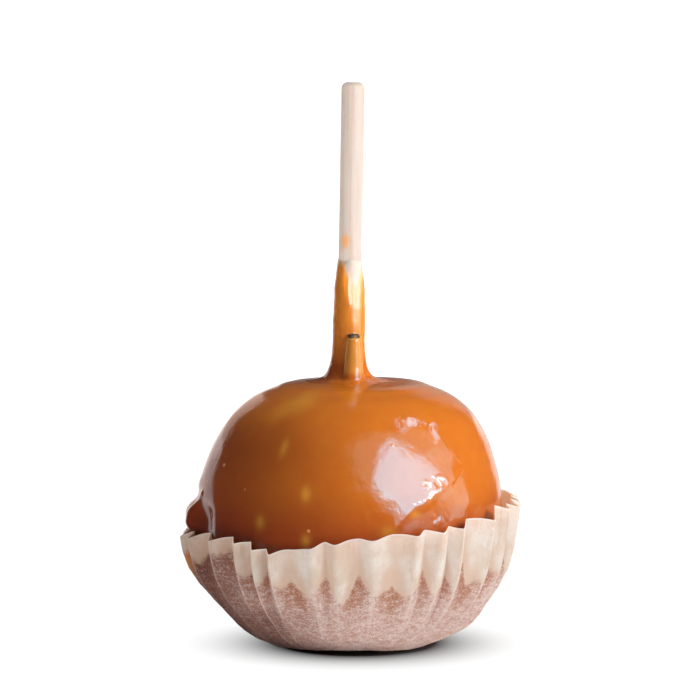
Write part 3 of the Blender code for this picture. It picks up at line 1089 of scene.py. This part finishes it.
    def outline(self) -> Array:
        """Shapes the half section.

        Returns:
            Rows of (radius, height) from the point inside the stick down the outside to the base's middle.
        """
        curve = smooth_curve(COLLAR_OUTLINE + BODY_OUTLINE)
        curve[:, 0] = np.maximum(curve[:, 0], 0.0)
        return respaced(curve, lambda z: np.interp(z, *zip(*self.spacing)))

    def streak_paleness(self, azimuth: Array, height: Array) -> Array:
        """Finds the pale streak down the collar's front: partly the stick showing through thin caramel,
        partly a painted highlight.

        Args:
            azimuth: azimuths in degrees.
            height: heights in millimetres.

        Returns:
            How pale each place is, from 0 to 1: bare wood and painted highlight.
        """
        heights, *columns = np.array(self.streak).T
        centre, half, share = (np.interp(height, heights, column) for column in columns)
        return share * ramp(np.abs(angle_between(azimuth, centre)) - half, 10.0, -10.0)

    def over_stalk(self, radius: Array, azimuth: Array, height: Array) -> Array:
        """Finds how far the collar bulges to wrap the stalk as well as the stick.

        Args:
            radius: the collar's radius round the stick alone.
            azimuth: azimuths in degrees.
            height: heights in millimetres.

        Returns:
            What the stalk adds to each radius.
        """
        turn = np.radians(angle_between(azimuth, self.stalk.azimuth))
        coat = np.interp(height, *zip(*self.stalk_coat))
        inside = coat**2 - (self.stalk.from_stick * np.sin(turn)) ** 2
        beside = (np.abs(turn) > 1.0) | (inside <= 0.0)
        reach = self.stalk.from_stick * np.cos(turn) + np.sqrt(np.maximum(inside, 0.0))
        wrapped = np.where(beside, radius, smooth_max(reach, radius, self.stalk_coat_blend))
        return (wrapped - radius) * ramp(height, *self.stalk_coat_top)

    def build(self, finish: "CaramelFinish") -> bpy.types.Object:
        """Builds the coat.

        Args:
            finish: its finish.

        Returns:
            The coat.
        """
        outline = self.outline()
        mesh = turned_mesh("caramel_coat", outline, self.steps)
        rows, start = rows_of(mesh), points_of(mesh)
        raw = azimuth_of(start[:, 0], start[:, 1])
        turned = np.radians(angle_between(raw, self.front_centre))
        pull = self.front_pull * np.sin(turned) + self.front_ripple * np.sin(3.0 * turned)
        azimuth = raw - np.degrees(pull)
        radius, height = outline[rows].T
        tangent = np.gradient(outline, axis=0)
        tangent /= np.linalg.norm(tangent, axis=1)[:, None]
        on_collar = height > BODY_TOP
        solid = placed(azimuth, radius, height)

        lobes = np.cos(np.radians(self.lobes * azimuth + self.lobe_turn))
        lobes *= self.lobe_depth * bell(height - self.lobe_height, self.lobe_half_height)
        low = total_rise(SHAPE_MARKS + SEAT_MARKS, azimuth, height) + lobes
        over = self.over_stalk(radius, azimuth, height)
        radius = radius + np.where(on_collar, over, low * ramp(radius, *self.marks_from))
        fine = total_rise(self.fine_marks, angle_between(azimuth, 0.0), height)
        fine = fine + sum(ripple.over(solid, azimuth, height) for ripple in self.ripples)
        fine = fine * ramp(radius, *self.fine_from)
        fine = fine + np.where(on_collar, self.collar_ripple.over(solid, azimuth, height), 0.0)
        radius = radius - fine * tangent[rows, 1]
        height = height + fine * tangent[rows, 0] + foot_lift(radius, azimuth, height)

        runs = grain_noise(solid * (1.0, 1.0, 0.16), 1.5, 6.0)
        cover_top = around(self.cover_top, azimuth) + self.cover_jag * runs
        cover = ramp(height, cover_top + self.cover_fade, cover_top - self.cover_fade)
        bare = self.stick_radius + self.film
        radius = np.where(on_collar & (radius > bare), bare + (radius - bare) * cover, radius)
        height = height + self.run_depth * runs * ramp(height, *self.run_heights)
        shift = self.axis.x_at(height)
        on_body = (climb(self.body_shifts, height) - shift) * ramp(radius, *self.body_from)
        shift = np.where(on_collar, shift, shift + on_body)
        move_points(mesh, placed(azimuth, radius, height, shift))

        froth = total_rise(self.glint_marks, angle_between(azimuth, 0.0), height)
        paint(
            mesh,
            thickness=np.where(on_collar, radius - self.stick_radius, self.body_thickness),
            bark=np.where(on_collar, ramp(over, *self.bark_rise) * ramp(height, *self.bark_from), 0.0),
            # pale streak: bare stick and painted highlight
            streak=np.where(on_collar, self.streak_paleness(azimuth + 8.0 * runs, height), 0.0),
            # painted shade on the left side, partly thicker caramel
            thick=np.where(on_collar, self.shaded_neck.at(azimuth, height), self.shaded_side.at(azimuth, height)),
            # painted glints
            froth=np.where(on_collar, 0.0, np.clip(froth * 1.3 - 0.25, 0.0, 1.0)),
            skin=np.clip(total_rise(self.skin_patches, azimuth, height), 0.0, 1.0),
        )
        return piece_from(mesh, finish)


@dataclass
class PaperCase:
    """Pleated case of greaseproof paper, stained by the caramel that it holds."""

    shell: float = 0.4
    paper: float = 0.16
    steps: int = 14
    floor: Pairs = ((0.0, 0.4), (9.0, 0.4), (17.3, 0.4), (18.0, 0.6))
    wall: Pairs = (
        (20.7, 1.0), (24.4, 2.7), (28.0, 5.2), (31.5, 8.5), (34.5, 12.0), (37.1, 16.0), (38.95, 20.4),
        (39.9, 25.0), (40.6, 30.0), (41.3, 35.0), (41.9, 42.0),
    )
    fixed_to: float = 20.4
    front_folds: tuple[float, ...] = (
        -91, -76, -58.5, -45.2, -36.9, -30.6, -21.3, -8.4, 3.3, 15.8, 27.0, 36.9, 44.8, 61.8, 73.5,
    )
    front_skews: tuple[float, ...] = (
        0.0, 0.2, 0.2, 0.2, 0.15, 0.25, -0.2, 0.2, 0.1, -0.2, -0.1, 0.0, -0.28, 0.0,
    )
    hidden_folds: int = 18
    fold_jitter: float = 1.7
    creases: Steps = ((1.05, 0.6, 5.0), (0.75, 7.0, 15.0), (1.0, 13.0, 27.0))  # pressed below, open above
    crease_chance: Fade = (12.0, 24.0)
    pleat_drop: float = 1.4
    rounding: tuple[float, float] = (0.10, 0.75)
    rounded_from: Fade = (9.0, 20.0)
    foot_fade: Fade = (0.8, 6.0)
    front: Side = Side(2.0, 26.0)
    front_share: float = 0.6
    gap: float = 0.5
    rim_height: Pairs = (
        (-150, 32.2), (-115, 30.4), (-91, 29.4), (-76, 30.4), (-58.5, 31.6), (-45.2, 31.7), (-36.9, 31.0),
        (-30.6, 29.6), (-21.3, 29.8), (-8.4, 32.1), (3.3, 33.0), (15.8, 33.9), (27.0, 34.6), (36.9, 35.0),
        (44.8, 36.3), (57.0, 36.3), (61.8, 38.4), (73.5, 37.9), (90, 38.2), (120, 38.3), (150, 35.8),
        (180, 33.4),
    )
    front_stain: Pairs = (
        (-91, 27.0), (-83.5, 24.0), (-76, 27.0), (-67, 23.0), (-58.5, 28.5), (-52, 26.5), (-45.2, 29.0),
        (-41, 21.6), (-36.9, 23.6), (-33.8, 20.0), (-30.6, 24.3), (-26, 19.4), (-21.3, 21.7), (-15, 17.4),
        (-8.4, 23.5), (-2.5, 15.5), (3.3, 24.0), (9.5, 18.1), (15.8, 20.5), (21.4, 17.3), (27, 24.4),
        (32, 17.6), (36.9, 22.7), (40.8, 18.1), (44.8, 25.7), (49, 18.6), (53, 20.4), (57.4, 18.6),
        (61.8, 22.0), (67.6, 20.6), (73.5, 29.0),
    )
    crinkles: tuple = ((0.10, 0.35, 2.4, 1.3), (0.05, 1.0, 1.1, 5.9))  # rise, squash, size and seed
    # where painted shade darkens the case's left side
    dusk: tuple[Side, ...] = (Side(-74.0, 34.0, 0.95, flatness=1.2), Side(-46.0, 24.0, 0.85, (19.0, 9.0)))
    soaked: Side = Side(-88.0, 9.0, 1.0, (15.0, 22.0))

    def folds(self) -> Array:
        """Places the inner folds.

        Returns:
            Their azimuths once round, the last one a whole turn after the first.
        """
        rng = random.Random(7)
        start, end = self.front_folds[-1], self.front_folds[0] + 360.0
        pitch, jitter = (end - start) / (self.hidden_folds + 1), self.fold_jitter
        hidden = [start + pitch * (i + 1) + rng.uniform(-jitter, jitter) for i in range(self.hidden_folds)]
        return np.array([*self.front_folds, *hidden, end])

    def chances(self, pleats: int) -> tuple[Array, Array, Array]:
        """Draws what differs from pleat to pleat.

        Args:
            pleats: how many pleats there are.

        Returns:
            The share of its depth and the skew of each pleat, and the rise of the rim at each fold.
        """
        rng = random.Random(23)
        depths = [rng.uniform(0.82, 1.12) for _ in range(pleats)]
        skews = [rng.uniform(-0.12, 0.12) for _ in range(pleats - len(self.front_skews))]
        lifts = np.array([rng.uniform(-0.35, 0.35) for _ in range(pleats)] + [0.0])
        lifts[: len(self.front_folds)] = 0.0
        return np.array(depths), np.array([*self.front_skews, *skews]), lifts

    def outline(self) -> Array:
        """Half section of the case's inner surface, from its rim down to its middle."""
        return respaced(smooth_curve((self.floor + self.wall)[::-1]), lambda z: np.where(z > 1.2, 0.62, 1.6))

    def stain_top(self, folds: Array, azimuth: Array) -> Array:
        """Draws the line that the caramel has soaked up to: higher in the inner folds.

        Args:
            folds: azimuths of the inner folds.
            azimuth: where the line is wanted, in degrees.

        Returns:
            Its height at each azimuth.
        """
        rng = random.Random(31)
        line = list(self.front_stain)
        for start, end in zip(folds[len(self.front_folds) - 1 :], folds[len(self.front_folds) :]):
            line += [((start + end) / 2, rng.uniform(16.0, 21.0)), (end, rng.uniform(22.0, 29.0))]
        line[-1] = (folds[-1], line[0][1])
        marks, levels = np.array(line).T
        before, share = place_between(marks, azimuth)
        start, end = levels[before], levels[before + 1]
        climb = np.where(end > start, share, 1.0 - share) ** 1.25
        return np.minimum(start, end) + np.abs(end - start) * climb

    def build(self, finish: "PaperFinish") -> bpy.types.Object:
        """Builds the case.

        Args:
            finish: its finish.

        Returns:
            The case.
        """
        folds, outline = self.folds(), self.outline()
        pleats = len(folds) - 1
        mesh = turned_mesh("paper_case", outline, pleats * self.steps)
        radius, level = outline[rows_of(mesh)].T
        start = points_of(mesh)
        turn = (azimuth_of(start[:, 0], start[:, 1]) - folds[0]) % 360.0 / 360.0
        place = np.rint(turn * pleats * self.steps) / self.steps % pleats
        fold = place.astype(int)
        share = place - fold
        azimuth = folds[fold] + (folds[fold + 1] - folds[fold]) * share

        depths, skews, lifts = self.chances(pleats)
        skewed = share + skews[fold] * np.sin(math.pi * share)
        front = self.front.at(azimuth, level)
        open_share = 1.0 - (1.0 - self.front_share) * front
        sharp = 1.0 - np.abs(2.0 * skewed - 1.0)
        soft = 0.5 - 0.5 * np.cos(2.0 * math.pi * skewed)
        least, more = self.rounding
        ridge = sharp + (soft - sharp) * (least + more * front) * ramp(level, *self.rounded_from)
        lift = lifts[fold] + (lifts[fold + 1] - lifts[fold]) * share
        drop = self.pleat_drop * open_share * ridge * depths[fold]
        rim = around(self.rim_height, azimuth) - drop + lift * 0.6
        radii, heights = zip(*self.wall)
        stretch = (rim - self.fixed_to) / (heights[-1] - self.fixed_to)
        height = np.where(level > self.fixed_to, self.fixed_to + stretch * (level - self.fixed_to), level)

        pushed = apple_radius(height) + total_rise(SHAPE_MARKS, azimuth, height) + self.gap
        wall = np.maximum(np.interp(height, heights, radii), pushed) + total_rise(SEAT_MARKS, azimuth, height)
        varied = 1.0 + (depths[fold] - 1.0) * ramp(height, *self.crease_chance)
        depth = climb(self.creases, height) * open_share * ridge * varied
        offset, foot = self.shell - self.paper, ramp(height, *self.foot_fade)
        radius = np.where(level > heights[0] - 0.01, wall + depth + (offset - 0.25) * foot, radius)
        height = np.maximum(height - offset * (1.0 - foot), self.paper)
        flat = placed(azimuth, radius, height)
        height = height + foot_lift(radius, azimuth, height)
        crinkle = 0.0
        for rise, squash, size, seed in self.crinkles:
            crinkle = crinkle + rise * grain_noise(flat * (1.0, 1.0, squash), size, seed)
        radius = radius + crinkle * ramp(level, 1.0, 4.0) * ramp(radius, 5.0, 20.0)
        move_points(mesh, placed(azimuth, radius, height))
        paint(
            mesh,
            stain=self.stain_top(folds, azimuth) - height,
            press=1.0 - 2.0 * ridge,
            rim=rim - height,
            # painted shade on the left side
            dusk=np.maximum(*(side.at(azimuth, height) for side in self.dusk)),
            soaked=np.clip(self.soaked.at(azimuth, height), 0.0, 0.9),
        )
        piece = piece_from(mesh, finish, 50.0)
        thickness = piece.modifiers.new("Paper", "SOLIDIFY")
        thickness.thickness = self.paper * MM
        thickness.offset = 1.0
        thickness.use_even_offset = False
        return piece


# --- The studio ---


@dataclass(frozen=True)
class Pane:
    """A lit patch with straight sides on a soft box, whose other parts stay dark.

    Each corner is its place in metres from the box's middle and the softness of the side that starts there.
    The corners run anticlockwise.
    """

    corners: tuple[tuple[float, float, float], ...]
    brightness: float
    colour: Colour = WHITE

    def emission(self, board: NodeBoard, place: Field) -> Field:
        """Light of the patch.

        Args:
            board: the board of the light's nodes.
            place: the place on the box, in metres from its middle.

        Returns:
            The patch's light at each place.
        """
        lit: object = self.brightness
        for (x, y, soft), (next_x, next_y, _) in zip(self.corners, self.corners[1:] + self.corners[:1]):
            length = math.hypot(next_x - x, next_y - y)
            inward = ((y - next_y) / length, (next_x - x) / length, 0.0)
            side = inward[0] * x + inward[1] * y
            depth = board.vectors("DOT_PRODUCT", place, inward, "Value")
            lit = depth.between(side - soft, side + soft) * lit
        return board.add("ShaderNodeEmission", {"Color": self.colour, "Strength": lit})


@dataclass(frozen=True)
class SoftBox:
    """A rectangular light that faces the apple, placed by direction: all of it lit, or some panes of it."""

    name: str
    azimuth: float
    elevation: float
    distance: float
    width: float
    height: float
    brightness: float = 1.0
    roll: float = 0.0
    colour: Colour = WHITE
    reach: Reach = Reach.GLOSS
    panes: tuple[Pane, ...] = ()
    falls_on: FallsOn = FallsOn.ALL

    def place(self, target: Vector, pale: bpy.types.Collection) -> None:
        """Hangs the light.

        Args:
            target: the point that it faces, in metres.
            pale: the paper and the stick, for a light that falls on them alone or on the rest.
        """
        turn, rise = math.radians(self.azimuth), math.radians(self.elevation)
        level = math.cos(rise)
        direction = Vector((math.sin(turn) * level, -math.cos(turn) * level, math.sin(rise)))
        data = bpy.data.lights.new(self.name, "AREA")
        data.shape = "RECTANGLE"
        data.size, data.size_y = self.width, self.height
        data.energy = self.brightness * math.pi * self.width * self.height
        data.color = self.colour
        if self.panes:
            self.light_panes(data)
        lamp = bpy.data.objects.new(self.name, data)
        roll = Matrix.Rotation(math.radians(self.roll), 4, "Z")
        facing = direction.to_track_quat("Z", "Y").to_matrix().to_4x4() @ roll
        lamp.matrix_world = Matrix.Translation(target + direction * self.distance) @ facing
        lamp.visible_camera = False
        lamp.visible_diffuse = self.reach is not Reach.GLOSS
        lamp.visible_glossy = self.reach is not Reach.BODY
        bpy.context.scene.collection.objects.link(lamp)
        if self.falls_on is FallsOn.PALE:
            lamp.light_linking.receiver_collection = pale
        elif self.falls_on is FallsOn.REST:
            rest = pale.copy()
            lamp.light_linking.receiver_collection = rest
            for member in rest.collection_objects:
                member.light_linking.link_state = "EXCLUDE"

    def light_panes(self, data: bpy.types.Light) -> None:
        """Lights only the panes, by the light's own coordinates.

        Args:
            data: the light.
        """
        data.use_nodes = True
        board = NodeBoard(data.node_tree)
        across = board.add("ShaderNodeNewGeometry", output="Parametric")
        centred = board.vectors("SUBTRACT", across, (0.5, 0.5, 0.0))
        place = board.vectors("MULTIPLY", centred, (self.width, self.height, 0.0))
        total, *others = [pane.emission(board, place) for pane in self.panes]
        for light in others:
            total = board.add("ShaderNodeAddShader", {0: total, 1: light})
        output = next(node for node in data.node_tree.nodes if node.type == "OUTPUT_LIGHT")
        board.fill(output, {"Surface": total})


BODY_BOXES = (
    SoftBox("key", 60.0, 27.0, 0.9, 0.55, 0.55, 11.7, 40.0, WARM_WHITE, Reach.BODY, falls_on=FallsOn.REST),
    SoftBox("top", -50.0, 62.0, 1.0, 0.8, 0.8, 1.25, reach=Reach.BODY),
    SoftBox("back", 140.0, 15.0, 1.0, 0.6, 0.6, 4.0, reach=Reach.BODY),
    SoftBox("left_back", -150.0, 10.0, 1.0, 0.6, 0.6, 1.5, reach=Reach.BODY),
    SoftBox("pale_key", 54.0, 15.0, 0.9, 1.0, 0.8, 3.05, 0.0, WARM_WHITE, Reach.BODY, falls_on=FallsOn.PALE),
    SoftBox("pale_fill", -42.0, 8.0, 1.0, 1.2, 0.5, 2.6, 0.0, (1.0, 0.98, 0.96), Reach.BODY,
            falls_on=FallsOn.PALE),
    SoftBox("pale_back", 130.0, 20.0, 1.0, 0.8, 0.5, 5.0, reach=Reach.BODY, falls_on=FallsOn.PALE),
)
SHINE_BOXES = (
    SoftBox("key_shine", 52.0, 28.0, 0.8, 2.1, 2.0, roll=35.0, panes=(
        Pane(((-0.37, -0.22, 0.02), (0.16, -0.40, 0.16), (0.17, -0.05, 0.05), (0.15, 0.28, 0.06),
              (-0.44, 0.26, 0.015)), 7.5),
        Pane(((0.12, -0.42, 0.05), (0.50, -0.40, 0.08), (0.42, -0.17, 0.06), (0.24, -0.02, 0.06),
              (0.12, -0.02, 0.10)), 0.9, (1.0, 0.95, 0.95)),
        Pane(((-0.60, -0.60, 0.12), (0.55, -0.60, 0.08), (0.50, -0.10, 0.08), (0.25, 0.35, 0.12),
              (-0.10, 0.74, 0.14), (-0.50, 0.66, 0.06)), 1.2, (1.0, 0.92, 0.70)),
        Pane(((-0.56, -0.32, 0.03), (-0.32, -0.32, 0.03), (-0.32, 0.12, 0.04), (-0.50, 0.18, 0.02)),
             1.8, (1.0, 1.0, 0.9)),
        Pane(((0.327, 0.179, 0.05), (0.595, 0.153, 0.05), (0.987, 0.355, 0.05), (0.719, 0.381, 0.05)), 8.5),
        Pane(((0.3575, -0.035, 0.03), (0.4225, -0.083, 0.03), (0.7625, 0.0245, 0.03), (0.6975, 0.0715, 0.03)),
             7.5),
        Pane(((0.06, -1.02, 0.10), (0.62, -1.02, 0.12), (0.62, -0.60, 0.12), (0.06, -0.60, 0.12)),
             2.3, (1.0, 1.0, 0.8)),
    )),
    SoftBox("left_shine", -155.0, 5.0, 1.0, 1.2, 1.1, panes=(
        Pane(((-0.6, -0.5, 0.03), (0.6, -0.5, 0.03), (0.53, -0.14, 0.015), (0.445, -0.035, 0.015),
              (0.27, 0.05, 0.02), (-0.6, -0.205, 0.03)), 0.92, (1.0, 0.80, 0.74)),
        Pane(((-0.6, -0.5, 0.03), (-0.1, -0.5, 0.2), (-0.1, -0.06, 0.03), (-0.6, -0.205, 0.03)), 0.5),
        Pane(((-0.43, -0.15, 0.03), (0.27, 0.03, 0.02), (0.27, 0.16, 0.015), (0.123, 0.306, 0.015),
              (-0.035, 0.445, 0.03)), 0.92, (1.0, 0.72, 0.62)),
        Pane(((-0.6, -0.23, 0.03), (-0.2, -0.12, 0.03), (-0.2, 0.0, 0.04), (-0.6, -0.02, 0.04)), 0.15),
    )),
    SoftBox("right_shine", 160.0, 8.0, 1.0, 1.0, 1.1, panes=(
        Pane(((-0.27, -0.42, 0.03), (0.2, -0.42, 0.12), (0.2, -0.15, 0.03), (-0.16, 0.003, 0.03),
              (-0.27, 0.003, 0.08)), 0.95, (1.0, 0.95, 0.92)),
        Pane(((-0.16, -0.10, 0.03), (0.30, -0.20, 0.03), (0.30, 0.30, 0.05), (0.10, 0.48, 0.06),
              (-0.16, 0.48, 0.08)), 0.4, (1.0, 0.9, 0.85)),
    )),
)


@dataclass
class Studio:
    """Camera, white table and lights, as the photograph has them."""

    camera_rise: float = 5.5
    camera_distance: float = 1.0
    lens: float = 200.6
    sensor: float = 36.0
    clip: tuple[float, float] = (0.01, 50.0)
    aim: tuple[float, float, float] = (0.2, 0.0, 75.85)
    table_size: float = 1.2
    world_light: float = 0.10
    world_shine: float = 0.06
    world_seen: float = 1.2
    boxes: tuple[SoftBox, ...] = BODY_BOXES + SHINE_BOXES

    def build(self, pale_pieces: Iterable[bpy.types.Object]) -> bpy.types.Object:
        """Builds the studio.

        Args:
            pale_pieces: the paper and the stick, which have softer lights of their own.

        Returns:
            The table.
        """
        self.set_camera()
        self.set_world()
        pale = bpy.data.collections.new("pale_pieces")
        for piece in pale_pieces:
            pale.objects.link(piece)
        for box in self.boxes:
            box.place(Vector(self.aim) * MM, pale)
        return self.lay_table()

    def set_camera(self) -> None:
        """Puts the camera where the photograph was taken from."""
        data = bpy.data.cameras.new("camera")
        data.lens, data.sensor_width = self.lens, self.sensor
        data.clip_start, data.clip_end = self.clip
        camera = bpy.data.objects.new("camera", data)
        rise = math.radians(self.camera_rise)
        away = Vector((0.0, -math.cos(rise), math.sin(rise)))
        camera.location = Vector(self.aim) * MM + away * self.camera_distance
        camera.rotation_euler = away.to_track_quat("Z", "Y").to_euler()
        bpy.context.scene.collection.objects.link(camera)
        bpy.context.scene.camera = camera

    def set_world(self) -> None:
        """White background, and a dimmer even light from all round."""
        world = bpy.data.worlds.new("studio")
        world.use_nodes = True
        bpy.context.scene.world = world
        board = NodeBoard(world.node_tree)
        glossy = board.add("ShaderNodeLightPath", output="Is Glossy Ray")
        lit = glossy.between(0.0, 1.0, self.world_light, self.world_shine)
        strength = board.math("MAXIMUM", lit, glossy.beside("Is Camera Ray") * self.world_seen)
        board.fill(world.node_tree.nodes["Background"], {"Strength": strength, "Color": WHITE})
        view = bpy.context.scene.view_settings
        view.view_transform = "Standard"
        view.look = "None"

    def lay_table(self) -> bpy.types.Object:
        """Lays the white table under the case.

        Returns:
            The table.
        """
        bm = bmesh.new()
        bmesh.ops.create_grid(bm, x_segments=1, y_segments=1, size=self.table_size / 2)
        mesh = bpy.data.meshes.new("table")
        bm.to_mesh(mesh)
        bm.free()
        table = piece_from(mesh, TableFinish())
        table.visible_glossy = False
        table.visible_shadow = False
        return table


def seat(piece: bpy.types.Object, node: str) -> None:
    """Puts a piece in the frame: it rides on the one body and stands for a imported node.

    Args:
        piece: the finished piece.
        node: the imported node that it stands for.
    """
    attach(piece, "root")
    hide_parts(node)
    LOG.info("%s stands for %s: %d faces", piece.name, node, len(piece.data.polygons))


def main() -> None:
    """Builds the object and the studio."""
    logging.basicConfig(level=logging.INFO, format="%(name)s: %(message)s")
    build_effects()
    axis = StickAxis()
    stalk = AppleStalk(axis)
    stick = WoodenStick(axis).build(WoodFinish())
    case = PaperCase().build(PaperFinish())
    seat(stick, "stick")
    seat(stalk.build(StalkFinish()), "apple_stalk")
    seat(CaramelCoat(axis, stalk).build(CaramelFinish()), "caramel_apple")
    seat(case, "paper_cup")
    Studio().build((case, stick))


if __name__ == "__main__":
    main()
